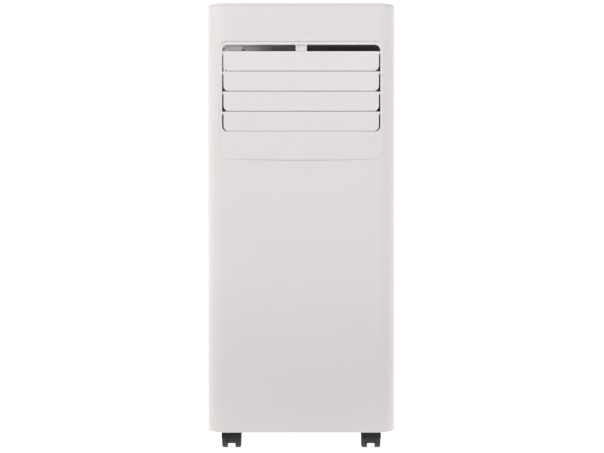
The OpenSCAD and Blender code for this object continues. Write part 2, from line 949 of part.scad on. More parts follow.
// Washable dust filter: a frame with a grid that backs its mesh
module air_filter() {
    y1 = y_back - filter_back;
    y0 = y1 - filter_t;
    inset = -ledge_w - 1;
    edge = 10;
    low = upper_grille_z + edge;
    high = upper_grille_z + upper_grille_h - edge;
    middle = (low + high) / 2;
    half = grille_w / 2 - edge;
    bar_x_pitch = 34;
    bar_z_pitch = 38;
    net_t = 0.8;
    color("slategrey") {
        difference() {
            facing(y0, y1)
                back_window(grille_w, upper_grille_z, upper_grille_h, inset);
            facing(y0 - eps, y1 + eps)
                back_window(grille_w, upper_grille_z, upper_grille_h, inset - 5);
        }
        for (i = [-2:2])
            box([i * bar_x_pitch - 1, y0 + 1, low], [i * bar_x_pitch + 1, y1 - 1, high]);
        for (i = [-1:1])
            box([-half, y0 + 1, middle + i * bar_z_pitch - 1], [half, y1 - 1, middle + i * bar_z_pitch + 1]);
        box([-half, y0 + 2, low], [half, y0 + 2 + net_t, high]);
    }
}

module lower_grille() {
    color("whitesmoke")
        louvred_grille(grille_w, lower_grille_z, lower_grille_h);
}

// Round collar that takes the exhaust hose
module exhaust_collar() {
    color("whitesmoke")
        difference() {
            union() {
                bar_y(exhaust_x, exhaust_z, exhaust_r + collar_wall, inner_back - 4, y_back + rear_proud);
                bar_y(exhaust_x, exhaust_z, exhaust_r + collar_wall + collar_flange, y_back, y_back + 2.5);
                for (a = [45:90:315])
                    translate([exhaust_x, 0, exhaust_z])
                        rotate([0, a, 0])
                            box([exhaust_r + 1, y_back + 1, -1.2],
                                [exhaust_r + collar_wall + collar_flange - 2, y_back + 10, 1.2]);
            }
            bar_y(exhaust_x, exhaust_z, exhaust_r, inner_back - 4 - eps, y_back + rear_proud + eps);
        }
}

// Box duct that leads the hot air from the lower blower to the collar
module exhaust_duct() {
    low = [exhaust_x - duct_half, lower_scroll_y, tray_z + tray_t];
    high = [exhaust_x + duct_half, inner_back - fit, exhaust_z + duct_half];
    skin = [duct_wall, duct_wall, duct_wall];
    scroll_y0 = lower_scroll_y + scroll_wall;
    scroll_y1 = lower_scroll_y + scroll_depth - scroll_wall;
    hole_r = exhaust_r + collar_wall + fit;
    color("silver")
        difference() {
            box(low, high);
            box(low + skin, high - skin);
            box([scroll_x + scroll_outlet, scroll_y0, low[2] - eps],
                [scroll_x + scroll_end, scroll_y1, low[2] + duct_wall + eps]);
            bar_y(exhaust_x, exhaust_z, hole_r, high[1] - duct_wall - eps, high[1] + eps);
        }
}

// Plug with a grip ring that closes a drain opening at height z
module drain_stopper(z) {
    fin_half = 1.6;
    plug_wall = 2.5;
    difference() {
        union() {
            bar_y(drain_x, z, drain_r - running, inner_back - 4, y_back + 3);
            bar_y(drain_x, z, drain_r + 5, y_back + 2 + fit, y_back + 6);
            box([drain_x - fin_half, y_back + 5, z - drain_r - 1],
                [drain_x + fin_half, y_back + 14, z + drain_r + 1]);
        }
        bar_y(drain_x, z, drain_r - plug_wall, inner_back - 4 - eps, y_back);
    }
}

module drain_cap() {
    color("dimgrey")
        drain_stopper(tray_drain_z);
}

module drain_plug() {
    color("dimgrey")
        drain_stopper(drain_z);
}

// Bushing where the mains lead enters
module cord_gland() {
    color("dimgrey")
        difference() {
            union() {
                bar_y(gland_x, drain_z, gland_r, inner_back - 4, y_back + 1);
                bar_y(gland_x, drain_z, gland_r + 2, y_back, y_back + 3);
                bar_y(gland_x, drain_z, gland_bore + 2.2, y_back, y_back + 8);
            }
            bar_y(gland_x, drain_z, gland_bore, inner_back - 4 - eps, y_back + 8 + eps);
        }
}

// ---- Cold and hot sides ----

// Half ring that joins tubes i and i + 1 at one end of a coil
module return_bend(z) {
    translate([coil_w / 2 + 2, coil_y + coil_t / 2, z])
        rotate([90, 0, 0])
            rotate([0, 0, -90])
                rotate_extrude(angle = 180)
                    translate([tube_pitch / 2, 0])
                        circle(tube_r);
}

// Finned coil from z0 up, its end plates reaching down to foot_z
module coil(z0, h, foot_z) {
    tubes = 2 * floor((h - 16) / tube_pitch / 2);
    first = z0 + h / 2 - (tubes - 1) * tube_pitch / 2;
    y = coil_y + coil_t / 2;
    box([-coil_w / 2 + 1, coil_y + 1, z0 + 2], [coil_w / 2 - 1, coil_y + coil_t - 1, z0 + h - 2]);
    both_sides()
        box([coil_w / 2 - coil_plate_t, coil_y, foot_z], [coil_w / 2, coil_y + coil_t, z0 + h]);
    for (i = [0:tubes - 1])
        bar_x(y, first + i * tube_pitch, tube_r, -coil_w / 2 - 2, coil_w / 2 + 2);
    for (i = [0:2:tubes - 2])
        return_bend(first + (i + 0.5) * tube_pitch);
    for (i = [1:2:tubes - 3])
        mirror([1, 0, 0])
            return_bend(first + (i + 0.5) * tube_pitch);
}

function coil_top_tube(z0, h) =
    z0 + h / 2 + (2 * floor((h - 16) / tube_pitch / 2) - 1) * tube_pitch / 2;

function coil_bottom_tube(z0, h) = 2 * z0 + h - coil_top_tube(z0, h);

module evaporator() {
    color("silver")
        coil(upper_grille_z, upper_grille_h, tray_z + tray_t);
}

module condenser() {
    color("silver")
        coil(condenser_z, condenser_h, pan_floor);
}

// Spiral inside of a blower housing at angle a
function scroll_r(a) =
    scroll_start + scroll_growth * (a - scroll_tongue) / (360 - scroll_tongue);

// Spiral with its outlet, which ends at a height above the axis
module scroll_outline(rise, grow) {
    polygon([for (a = [scroll_tongue:scroll_step:360]) (scroll_r(a) + grow) * [cos(a), sin(a)]]);
    translate([scroll_outlet - grow, 0])
        square([scroll_end - scroll_outlet + 2 * grow, rise]);
}

module scroll_case(y0, z, rise) {
    translate([scroll_x, 0, z])
        difference() {
            facing(y0, y0 + scroll_depth)
                scroll_outline(rise, scroll_wall);
            facing(y0 + scroll_wall, y0 + scroll_depth - scroll_wall)
                scroll_outline(rise + eps, 0);
            bar_y(0, 0, inlet_r, y0 + scroll_depth - scroll_wall - eps, y0 + scroll_depth + eps);
            bar_y(0, 0, shaft_r + 6, y0 - eps, y0 + scroll_wall + eps);
        }
}

// Squirrel-cage wheel with its hub and shaft
module blower_wheel(y0, z) {
    front = y0 + scroll_wall + 5;
    ring = 9;
    translate([scroll_x, 0, z]) {
        bar_y(0, 0, wheel_r, front, front + 2);
        bar_y(0, 0, 11, front - 1, front + 14);
        bar_y(0, 0, shaft_r, y0 - 14, front + 16);
        difference() {
            bar_y(0, 0, wheel_r, front + wheel_depth - 2, front + wheel_depth);
            bar_y(0, 0, wheel_r - ring, front + wheel_depth - 2 - eps, front + wheel_depth + eps);
        }
        for (i = [0:impeller_count - 1])
            rotate([0, i * 360 / impeller_count, 0])
                translate([wheel_r - ring / 2 - 0.6, front, 0])
                    rotate([0, 28, 0])
                        translate([-3.6, 0, -0.5])
                            cube([7.2, wheel_depth, 1]);
    }
}

// Motor in front of a blower housing, with four lugs
module blower_motor(y0, z, l) {
    translate([scroll_x, 0, z])
        difference() {
            union() {
                bar_y(0, 0, motor_r, y0 - l, y0 - 6);
                bar_y(0, 0, motor_r - 14, y0 - l - 5, y0 - 1);
                for (a = [45:90:315])
                    rotate([0, a, 0])
                        box([motor_r - 6, y0 - 9, -6], [motor_r + 9, y0, 6]);
            }
            bar_y(0, 0, shaft_r + running, y0 - 15, y0 + eps);
        }
}

module upper_scroll() {
    color("ghostwhite")
        scroll_case(upper_scroll_y, upper_z, upper_rise);
}

module upper_wheel() {
    color("dimgrey")
        blower_wheel(upper_scroll_y, upper_z);
}

module upper_motor() {
    color("silver")
        blower_motor(upper_scroll_y, upper_z, upper_motor_l);
}

module lower_scroll() {
    color("ghostwhite")
        scroll_case(lower_scroll_y, lower_z, lower_rise);
}

module lower_wheel() {
    color("dimgrey")
        blower_wheel(lower_scroll_y, lower_z);
}

module lower_motor() {
    color("silver")
        blower_motor(lower_scroll_y, lower_z, lower_motor_l);
}

// Drip tray with openings for the hot air and the pipes
module partition_tray() {
    color("lightgrey")
        difference() {
            union() {
                difference() {
                    upright(tray_margin, tray_z, tray_z + tray_t + tray_rim);
                    upright(tray_margin + tray_lip, tray_z + tray_t, tray_z + tray_t + tray_rim + eps);
                }
                for (s = [SCREWS[2], SCREWS[3]])
                    bar_y(s[0], s[1], screw_r + boss_wall - 1, inner_back - screw_l, inner_back - fit);
                bar_y(drain_x, tray_drain_z, drain_r + 2, inner_back - spout_back, y_back + spout_out);
            }
            box([scroll_x + scroll_outlet - 1, lower_scroll_y - 1, tray_z - eps],
                [scroll_x + scroll_end + 1, lower_scroll_y + scroll_depth + 1, tray_z + tray_t + eps]);
            box([riser_x - pipe_r - fit / 2, coil_y - 6, tray_z - eps],
                [riser_x + pipe_r + 1, coil_y + coil_t, tray_z + tray_t + eps]);
            box([exhaust_x - duct_half - fit, lower_scroll_y + scroll_depth, tray_z + tray_t],
                [exhaust_x + duct_half + fit, y_back, tray_z + tray_t + tray_rim + eps]);
            for (s = [SCREWS[2], SCREWS[3]])
                bar_y(s[0], s[1], screw_r + running, inner_back - screw_l - eps, inner_back);
            bar_y(drain_x, tray_drain_z, drain_r, inner_back - spout_back - eps, y_back + spout_out + eps);
        }
}

// Steel shell with rounded ends, its foot plate, terminal cap and side bottle
module compressor() {
    dome = 14;
    bottle_r = 17;
    color([0.12, 0.12, 0.13])
        translate([compressor_x, compressor_y, compressor_z]) {
            translate([0, 0, 3])
                rotate_extrude() {
                    square([compressor_r - dome, compressor_h]);
                    translate([0, dome])
                        square([compressor_r, compressor_h - 2 * dome]);
                    for (z = [dome, compressor_h - dome])
                        translate([compressor_r - dome, z])
                            circle(dome);
                }
            for (a = [90:120:330])
                rotate([0, 0, a]) {
                    translate([0, -9, 0])
                        cube([foot_ring, 18, 3 + eps]);
                    translate([foot_ring, 0, 0])
                        cylinder(r = 9, h = 3 + eps);
                }
            translate([0, 0, compressor_h])
                cylinder(r = 13, h = 13);
            translate([bottle_x, 0, 30])
                rotate_extrude() {
                    square([bottle_r - 6, bottle_h]);
                    translate([0, 6])
                        square([bottle_r, bottle_h - 12]);
                    for (z = [6, bottle_h - 6])
                        translate([bottle_r - 6, z])
                            circle(6);
                }
            bar_x(0, 44, 5, compressor_r - 4, bottle_x);
        }
}

module compressor_feet() {
    color([0.1, 0.1, 0.1])
        for (a = [90:120:330])
            translate([compressor_x + foot_ring * cos(a), compressor_y + foot_ring * sin(a), pan_floor])
                rotate_extrude()
                    difference() {
                        square([foot_r, foot_h]);
                        translate([foot_r + 1, foot_h / 2])
                            circle(3);
                    }
}

// Pipe through a list of points, square to the axes, with round elbows
module pipe_run(points) {
    for (i = [0:len(points) - 2]) {
        step = points[i + 1] - points[i];
        translate(points[i])
            rotate([step[1] == 0 ? 0 : (step[1] > 0 ? -90 : 90),
                    step[0] == 0 ? (step[2] < 0 ? 180 : 0) : (step[0] > 0 ? 90 : -90),
                    0])
                cylinder(r = pipe_r, h = norm(step));
    }
    for (i = [1:len(points) - 2])
        translate(points[i])
            sphere(pipe_r);
}

module refrigerant_pipes() {
    coil_mid = coil_y + coil_t / 2;
    end_x = -coil_w / 2 - 2;
    top_z = compressor_z + compressor_h + 3;
    hot_z = top_z + 12;
    run_z = top_z + 24;
    drop_x = riser_x + riser_gap;
    hot_in = coil_top_tube(condenser_z, condenser_h);
    hot_out = coil_bottom_tube(condenser_z, condenser_h);
    cold_in = coil_bottom_tube(upper_grille_z, upper_grille_h);
    cold_out = coil_top_tube(upper_grille_z, upper_grille_h);
    start_y = compressor_y + 24;
    bottle = compressor_x + bottle_x;
    color([0.72, 0.42, 0.26]) {
        pipe_run([
            [compressor_x, start_y, top_z], [compressor_x, start_y, hot_z],
            [drop_x, start_y, hot_z], [drop_x, coil_mid, hot_z],
            [drop_x, coil_mid, hot_in], [end_x, coil_mid, hot_in],
        ]);
        pipe_run([
            [end_x, coil_mid, hot_out], [riser_x, coil_mid, hot_out],
            [riser_x, coil_mid, cold_in], [end_x, coil_mid, cold_in],
        ]);
        pipe_run([
            [end_x, coil_mid, cold_out], [riser_x, coil_mid, cold_out],
            [riser_x, coil_y, cold_out], [riser_x, coil_y, run_z], [riser_x, compressor_y, run_z],
            [bottle, compressor_y, run_z], [bottle, compressor_y, compressor_z + 30 + bottle_h],
        ]);
    }
}

// ---- Casters ----

module caster_stems() {
    color("silver")
        for (c = CASTERS)
            translate([c[0], c[1], 0]) {
                translate([0, 0, stem_bottom])
                    cylinder(r = stem_r, h = stem_top - stem_bottom);
                translate([0, 0, z_base - 0.9])
                    cylinder(r = stem_r + 1.8, h = 0.9);
            }
}

// Hood, web and stem socket of caster number n
module caster_housing(n) {
    hood_r = caster_wheel_r + caster_r_gap;
    color([0.1, 0.1, 0.1])
        translate([CASTERS[n - 1][0], CASTERS[n - 1][1], 0])
            difference() {
                union() {
                    difference() {
                        bar_x(caster_trail, caster_wheel_r, hood_r + hood_t, -caster_w / 2, caster_w / 2);
                        bar_x(caster_trail, caster_wheel_r, hood_r, -caster_w / 2 - eps, caster_w / 2 + eps);
                        box([-caster_w, -caster_w, -caster_w], [caster_w, 2 * caster_w, caster_wheel_r + 2]);
                    }
                    sideways(-web_half, web_half) {
                        translate([caster_trail, caster_wheel_r])
                            circle(10);
                        difference() {
                            translate([caster_trail, caster_wheel_r])
                                circle(hood_r + hood_t / 2);
                            translate([-caster_w, -caster_w])
                                square([3 * caster_w, caster_w + caster_wheel_r]);
                        }
                    }
                    translate([0, 0, stem_bottom - 4])
                        cylinder(r = web_half, h = z_base - 1 - stem_bottom + 4);
                }
                translate([0, 0, stem_bottom])
                    cylinder(r = stem_r + running, h = z_base);
                bar_x(caster_trail, caster_wheel_r, axle_r + running, -caster_w, caster_w);
            }
}

// Half section of one wheel, its rounded outer edge away from the hood's web
module wheel_section() {
    edge_r = 2.4;
    face = 0.9;
    difference() {
        union() {
            square([caster_wheel_r, caster_wheel_w - edge_r]);
            square([caster_wheel_r - edge_r, caster_wheel_w]);
            translate([caster_wheel_r - edge_r, caster_wheel_w - edge_r])
                circle(edge_r);
        }
        square([axle_r, 3 * caster_wheel_w], center = false);
        translate([5.5, caster_wheel_w - face])
            square([6.5, face + eps]);
    }
}

module caster_wheels(n) {
    color([0.13, 0.13, 0.13])
        translate([CASTERS[n - 1][0], CASTERS[n - 1][1] + caster_trail, caster_wheel_r])
            both_sides()
                translate([wheel_side - caster_wheel_w, 0, 0])
                    rotate([0, 90, 0])
                        rotate_extrude()
                            wheel_section();
}

module caster_axle(n) {
    color("silver")
        translate([CASTERS[n - 1][0], 0, 0])
            bar_x(CASTERS[n - 1][1] + caster_trail, caster_wheel_r, axle_r,
                -wheel_side + 0.8, wheel_side - 0.8);
}

// ---- Drawing ----

front_shell();
rear_shell();
top_cover();
base_pan();
case_screws();
outlet_frame();
outlet_duct();
for (k = [1:blade_count])
    louver_blade(k);
louver_link();
for (k = [1:vane_count])
    vane(k);
vane_link();
control_panel();
display_lens();
control_board();
for (i = [0:len(BUTTONS) - 1])
    push_button(i);
filter_grille();
air_filter();
lower_grille();
exhaust_collar();
exhaust_duct();
drain_cap();
drain_plug();
cord_gland();
evaporator();
condenser();
upper_scroll();
upper_wheel();
upper_motor();
lower_scroll();
lower_wheel();
lower_motor();
partition_tray();
compressor();
compressor_feet();
refrigerant_pipes();
caster_stems();
for (n = [1:len(CASTERS)]) {
    caster_housing(n);
    caster_wheels(n);
    caster_axle(n);
}
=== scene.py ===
"""Portable air conditioner: looks, small visual pieces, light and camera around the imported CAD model.

Everything is in metres in the model's own frame: +Z up, the louvre on the -Y side.
"""
import json
import math

import bpy
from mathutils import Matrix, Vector

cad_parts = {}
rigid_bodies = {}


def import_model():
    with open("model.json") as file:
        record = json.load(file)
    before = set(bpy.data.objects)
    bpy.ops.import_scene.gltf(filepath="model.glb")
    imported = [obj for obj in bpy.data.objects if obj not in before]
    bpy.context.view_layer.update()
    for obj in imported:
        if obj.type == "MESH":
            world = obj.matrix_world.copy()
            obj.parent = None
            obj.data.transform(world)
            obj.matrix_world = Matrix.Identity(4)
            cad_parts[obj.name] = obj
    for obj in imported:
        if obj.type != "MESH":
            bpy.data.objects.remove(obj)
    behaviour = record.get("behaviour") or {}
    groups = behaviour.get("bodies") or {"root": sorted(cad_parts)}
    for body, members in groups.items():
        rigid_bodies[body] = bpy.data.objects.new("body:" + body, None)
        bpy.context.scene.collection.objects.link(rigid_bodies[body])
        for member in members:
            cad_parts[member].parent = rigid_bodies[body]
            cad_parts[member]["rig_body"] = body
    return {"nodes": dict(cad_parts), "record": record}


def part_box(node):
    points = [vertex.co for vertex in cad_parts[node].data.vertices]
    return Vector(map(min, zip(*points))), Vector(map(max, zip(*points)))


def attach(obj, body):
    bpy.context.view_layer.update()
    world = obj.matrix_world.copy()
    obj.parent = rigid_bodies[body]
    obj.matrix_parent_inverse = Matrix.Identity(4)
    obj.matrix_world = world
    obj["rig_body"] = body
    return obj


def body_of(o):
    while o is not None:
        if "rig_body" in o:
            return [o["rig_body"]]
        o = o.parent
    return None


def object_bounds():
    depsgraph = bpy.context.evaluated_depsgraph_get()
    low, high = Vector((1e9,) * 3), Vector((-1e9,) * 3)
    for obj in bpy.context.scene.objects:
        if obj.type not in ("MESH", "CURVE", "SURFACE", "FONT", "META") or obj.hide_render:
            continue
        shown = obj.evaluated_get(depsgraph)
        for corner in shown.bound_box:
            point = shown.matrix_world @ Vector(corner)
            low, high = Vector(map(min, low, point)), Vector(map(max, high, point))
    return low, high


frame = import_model()
cad_low, cad_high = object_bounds()

NODES = frame["nodes"]
SLOT_OF = {row["node"]: row["material_slot"] for row in frame["record"]["subparts"]}
MM = 0.001

scene = bpy.context.scene
scene.view_settings.view_transform = "Standard"
scene.view_settings.look = "None"


# ---- Materials ----

# Radius of the lighter sharp edges, a painted highlight and partly wear
EDGE_HIGHLIGHT_AND_WEAR_RADIUS = 0.4 * MM
EDGE_SAMPLES = 4
BUMP_STRENGTH = 0.35
SMOOTHEST = 0.02


def ramp(tree, fac, stops):
    """Colour ramp with (position, grey level) stops."""
    node = tree.nodes.new("ShaderNodeValToRGB")
    elements = node.color_ramp.elements
    while len(elements) < len(stops):
        elements.new(0.5)
    for element, (position, level) in zip(elements, stops):
        element.position = position
        element.color = (level, level, level, 1)
    tree.links.new(fac, node.inputs["Fac"])
    return node.outputs["Color"]


def noise(tree, coords, scale, detail=2.0, stretch=(1, 1, 1)):
    """Noise over object coordinates; scale is in cells per metre."""
    mapping = tree.nodes.new("ShaderNodeMapping")
    mapping.inputs["Scale"].default_value = stretch
    tree.links.new(coords, mapping.inputs["Vector"])
    node = tree.nodes.new("ShaderNodeTexNoise")
    node.inputs["Scale"].default_value = scale
    node.inputs["Detail"].default_value = detail
    tree.links.new(mapping.outputs["Vector"], node.inputs["Vector"])
    return node.outputs["Fac"]


def mix_colour(tree, fac, a, b):
    """Mix of two colours; each is a colour or a socket."""
    node = tree.nodes.new("ShaderNodeMix")
    node.data_type = "RGBA"
    for value, socket in ((fac, node.inputs["Factor"]), (a, node.inputs["A"]), (b, node.inputs["B"])):
        if isinstance(value, bpy.types.NodeSocket):
            tree.links.new(value, socket)
        elif isinstance(value, (int, float)):
            socket.default_value = value
        else:
            socket.default_value = (*value, 1)
    return node.outputs["Result"]


def shade(colour, factor):
    return tuple(min(1.0, c * factor) for c in colour)


def along(tree, coords, axis, start, end):
    """0 before start and 1 after end along an axis of the object."""
    split = tree.nodes.new("ShaderNodeSeparateXYZ")
    tree.links.new(coords, split.inputs["Vector"])
    part = tree.nodes.new("ShaderNodeMapRange")
    part.inputs["From Min"].default_value = start
    part.inputs["From Max"].default_value = end
    tree.links.new(split.outputs[axis], part.inputs["Value"])
    return part.outputs["Result"]


def edge_mask(tree):
    """1 on sharp edges, where the rounded normal leaves the true one, and 0 elsewhere."""
    round_edge = tree.nodes.new("ShaderNodeBevel")
    round_edge.samples = EDGE_SAMPLES
    round_edge.inputs["Radius"].default_value = EDGE_HIGHLIGHT_AND_WEAR_RADIUS
    facing = tree.nodes.new("ShaderNodeVectorMath")
    facing.operation = "DOT_PRODUCT"
    tree.links.new(round_edge.outputs["Normal"], facing.inputs[0])
    tree.links.new(tree.nodes.new("ShaderNodeNewGeometry").outputs["Normal"], facing.inputs[1])
    return ramp(tree, facing.outputs["Value"], [(0.8, 1), (0.97, 0)])


def surface(name, colour, rough=0.45, metal=0.0, grain=1500, bump=0.02, blotch=9, spread=0.03,
            edge_highlight_and_wear=1.06, stretch=(1, 1, 1), coat=0.0, specular=0.5, rough_spread=0.08, light_and_shade_paint=None):
    """Principled material: slow colour drift, fine grain in bump and roughness, and lighter edges: a painted
    highlight, partly wear.

    The last argument, if given, is a function (tree, coords, colour socket) that returns a new colour socket
    with painted light and painted shade.
    """
    material = bpy.data.materials.new(name)
    material.use_nodes = True
    tree = material.node_tree
    shader = tree.nodes["Principled BSDF"]
    coords = tree.nodes.new("ShaderNodeTexCoord").outputs["Object"]
    drift = ramp(tree, noise(tree, coords, blotch, 3), [(0.3, 0), (0.7, 1)])
    base = mix_colour(tree, drift, shade(colour, 1 - spread), shade(colour, 1 + spread))
    # Painted light and painted shade, where a material has them
    if light_and_shade_paint:
        base = light_and_shade_paint(tree, coords, base)
    # Painted highlight, partly wear: sharp edges get a lighter colour
    base = mix_colour(tree, edge_mask(tree), base, shade(colour, edge_highlight_and_wear))
    tree.links.new(base, shader.inputs["Base Color"])
    fine = noise(tree, coords, grain, 2, stretch)
    rough_range = tree.nodes.new("ShaderNodeMapRange")
    rough_range.inputs["To Min"].default_value = max(SMOOTHEST, rough - rough_spread)
    rough_range.inputs["To Max"].default_value = rough + rough_spread
    tree.links.new(fine, rough_range.inputs["Value"])
    tree.links.new(rough_range.outputs["Result"], shader.inputs["Roughness"])
    bumps = tree.nodes.new("ShaderNodeBump")
    bumps.inputs["Strength"].default_value = BUMP_STRENGTH
    bumps.inputs["Distance"].default_value = bump * MM
    tree.links.new(fine, bumps.inputs["Height"])
    tree.links.new(bumps.outputs["Normal"], shader.inputs["Normal"])
    shader.inputs["Metallic"].default_value = metal
    shader.inputs["Coat Weight"].default_value = coat
    shader.inputs["Specular IOR Level"].default_value = specular
    return material


# Colours, and where they change, with painted light and painted shade
DUCT = (0.22, 0.215, 0.21)
# Painted light on the left part of the outlet duct: its colour, where it ends and how far it fades
DUCT_PAINTED_LIGHT_COLOUR = (0.5, 0.49, 0.48)
duct_low, duct_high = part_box("outlet_duct")
DUCT_PAINTED_LIGHT_END = duct_low.x + 0.21 * (duct_high.x - duct_low.x)
DUCT_PAINTED_LIGHT_FADE = 12 * MM
# Painted shade inside the outlet panel's tunnel: the depth where it begins and where it is full
TUNNEL_PAINTED_SHADE_START = cad_low.y + 5 * MM
TUNNEL_PAINTED_SHADE_FULL = cad_low.y + 7 * MM
CASING = (0.851, 0.812, 0.805)
PANEL = (0.847, 0.807, 0.8035)
# Painted shade on the casing: the darkest factor near the floor and near the top, and the heights over which
# it fades
LOW_PAINTED_SHADE = 0.868
LOW_PAINTED_SHADE_RISE = (0.03, 0.29)
TOP_PAINTED_SHADE = 0.93
TOP_PAINTED_SHADE_RISE = (0.42, 0.68)


def duct_painted_light(tree, coords, base):
    """Painted light: the outlet duct is lighter in its left part."""
    fade = along(tree, coords, "X", DUCT_PAINTED_LIGHT_END - DUCT_PAINTED_LIGHT_FADE, DUCT_PAINTED_LIGHT_END + DUCT_PAINTED_LIGHT_FADE)
    return mix_colour(tree, fade, DUCT_PAINTED_LIGHT_COLOUR, base)


def tunnel_painted_shade(tree, coords, base):
    """Painted shade: the white tunnel behind the outlet panel takes the duct's dark colours, with the duct's
    painted light on its left.
    """
    deep = along(tree, coords, "Y", TUNNEL_PAINTED_SHADE_START, TUNNEL_PAINTED_SHADE_FULL)
    return mix_colour(tree, deep, base, duct_painted_light(tree, coords, DUCT))


def casing_painted_shade(tree, coords, base):
    """Painted shade: the casing is a little darker towards the floor and towards the top."""
    rise = along(tree, coords, "Z", *LOW_PAINTED_SHADE_RISE)
    low = mix_colour(tree, rise, shade(CASING, LOW_PAINTED_SHADE), base)
    near_top = along(tree, coords, "Z", *TOP_PAINTED_SHADE_RISE)
    return mix_colour(tree, near_top, low, shade(CASING, TOP_PAINTED_SHADE))


MATERIALS = {
    "casing_white": surface("casing_white", CASING, rough=0.5, grain=1400, bump=0.03, spread=0.008,
                            light_and_shade_paint=casing_painted_shade),
    "panel_white": surface("panel_white", PANEL, rough=0.48, grain=1600, bump=0.02, spread=0.008,
                           light_and_shade_paint=tunnel_painted_shade),
    "blade_white": surface("blade_white", PANEL, rough=0.42, grain=1600, bump=0.015, spread=0.01),
    "link_grey": surface("link_grey", (0.5, 0.5, 0.5), rough=0.5),
    "duct_dark": surface("duct_dark", DUCT, rough=0.6, spread=0.1, light_and_shade_paint=duct_painted_light),
    "vane_grey": surface("vane_grey", (0.3, 0.3, 0.3), rough=0.5),
    "pan_grey": surface("pan_grey", (0.36, 0.36, 0.355), rough=0.55, bump=0.04),
    "control_grey": surface("control_grey", (0.5, 0.5, 0.5), rough=0.38, bump=0.012),
    "display_black": surface("display_black", (0.008, 0.008, 0.01), rough=0.12, bump=0.002, coat=0.6,
                             rough_spread=0.03),
    "button_white": surface("button_white", (0.76, 0.755, 0.75), rough=0.36, bump=0.012),
    "board_green": surface("board_green", (0.02, 0.13, 0.06), rough=0.35, grain=500, bump=0.05),
    "filter_grey": surface("filter_grey", (0.045, 0.048, 0.05), rough=0.6),
    "stopper_rubber": surface("stopper_rubber", (0.035, 0.035, 0.037), rough=0.72, grain=2500, bump=0.03),
    "coil_aluminium": surface("coil_aluminium", (0.68, 0.69, 0.70), rough=0.38, metal=1.0, grain=900,
                              stretch=(1, 1, 0.05)),
    "housing_white": surface("housing_white", (0.62, 0.62, 0.61), rough=0.55, bump=0.04),
    "impeller_black": surface("impeller_black", (0.02, 0.02, 0.02), rough=0.5),
    "motor_steel": surface("motor_steel", (0.46, 0.46, 0.46), rough=0.35, metal=1.0, grain=1200,
                           stretch=(1, 0.08, 1)),
    "duct_metal": surface("duct_metal", (0.62, 0.63, 0.64), rough=0.36, metal=1.0, grain=300, bump=0.05),
    "compressor_paint": surface("compressor_paint", (0.018, 0.018, 0.019), rough=0.3, grain=260, bump=0.06,
                                coat=0.3),
    "foot_rubber": surface("foot_rubber", (0.02, 0.02, 0.02), rough=0.75),
    "pipe_copper": surface("pipe_copper", (0.78, 0.40, 0.25), rough=0.3, metal=1.0, blotch=40, spread=0.15),
    "caster_black": surface("caster_black", (0.0116, 0.0108, 0.0108), rough=0.45, bump=0.04, edge_highlight_and_wear=1.6,
                            spread=0.08),
    "wheel_black": surface("wheel_black", (0.0148, 0.0138, 0.0138), rough=0.5, bump=0.04, edge_highlight_and_wear=1.6,
                           spread=0.08),
    "pin_steel": surface("pin_steel", (0.6, 0.6, 0.6), rough=0.28, metal=1.0, grain=1800),
    "print_grey": surface("print_grey", (0.16, 0.16, 0.17), rough=0.5, spread=0.06),
    "figure_grey": surface("figure_grey", (0.045, 0.045, 0.048), rough=0.3, spread=0.06),
}


# ---- CAD nodes: material, joined corners, smooth curved faces ----

SMOOTH_ANGLE = math.radians(28)
WELD_DISTANCE = 0.01 * MM


def finish_node(name, obj):
    material = MATERIALS[SLOT_OF[name]]
    obj.data.materials.clear()
    obj.data.materials.append(material)
    obj.data.polygons.foreach_set("use_smooth", [True] * len(obj.data.polygons))
    weld = obj.modifiers.new("joined_corners", "WELD")
    weld.merge_threshold = WELD_DISTANCE
    split = obj.modifiers.new("sharp_edges", "EDGE_SPLIT")
    split.split_angle = SMOOTH_ANGLE


for node_name, node_object in NODES.items():
    finish_node(node_name, node_object)


# ---- Small visual pieces ----

def polar(centre, radius, angle):
    """Point at a radius and an angle, in radians, from a centre."""
    return centre[0] + radius * math.cos(angle), centre[1] + radius * math.sin(angle)


